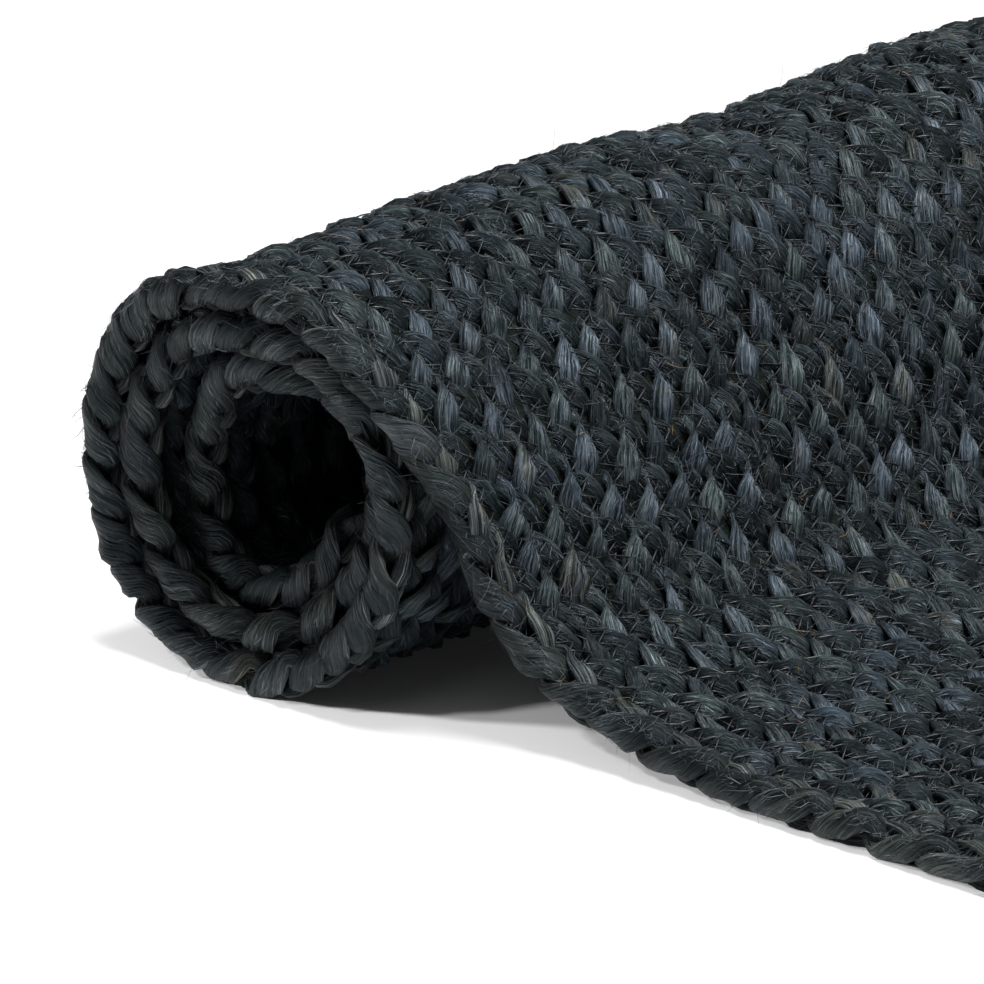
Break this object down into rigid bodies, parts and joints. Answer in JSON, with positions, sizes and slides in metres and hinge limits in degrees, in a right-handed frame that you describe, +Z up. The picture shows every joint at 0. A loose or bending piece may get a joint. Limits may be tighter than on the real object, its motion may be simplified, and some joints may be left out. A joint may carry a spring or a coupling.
{
  "type": "partly rolled braided jute rug",
  "caption": "Rectangular rug of jute braids sewn side by side, one end wound into a loose roll and the rest running down from its top to lie flat.",
  "frame": {"origin": "on the floor, under the middle of the whole rug's box", "axes": "+Z up; +Y along the roll, from its protruding end to the other; +X from the roll along the flat part, the way the braids run"},
  "size_m": [0.3616, 0.6198, 0.0926],
  "materials": {
    "jute": "matt, fibrous, dark blue-grey dyed jute",
    "jute_edge": "matt, fibrous, dark blue-grey dyed jute"
  },
  "bodies": {
    "root": {"braided_field": "jute", "edge_braid_front": "jute_edge", "edge_braid_back": "jute_edge", "end_braid_inner": "jute_edge", "end_braid_outer": "jute_edge"}
  },
  "joints": []
}
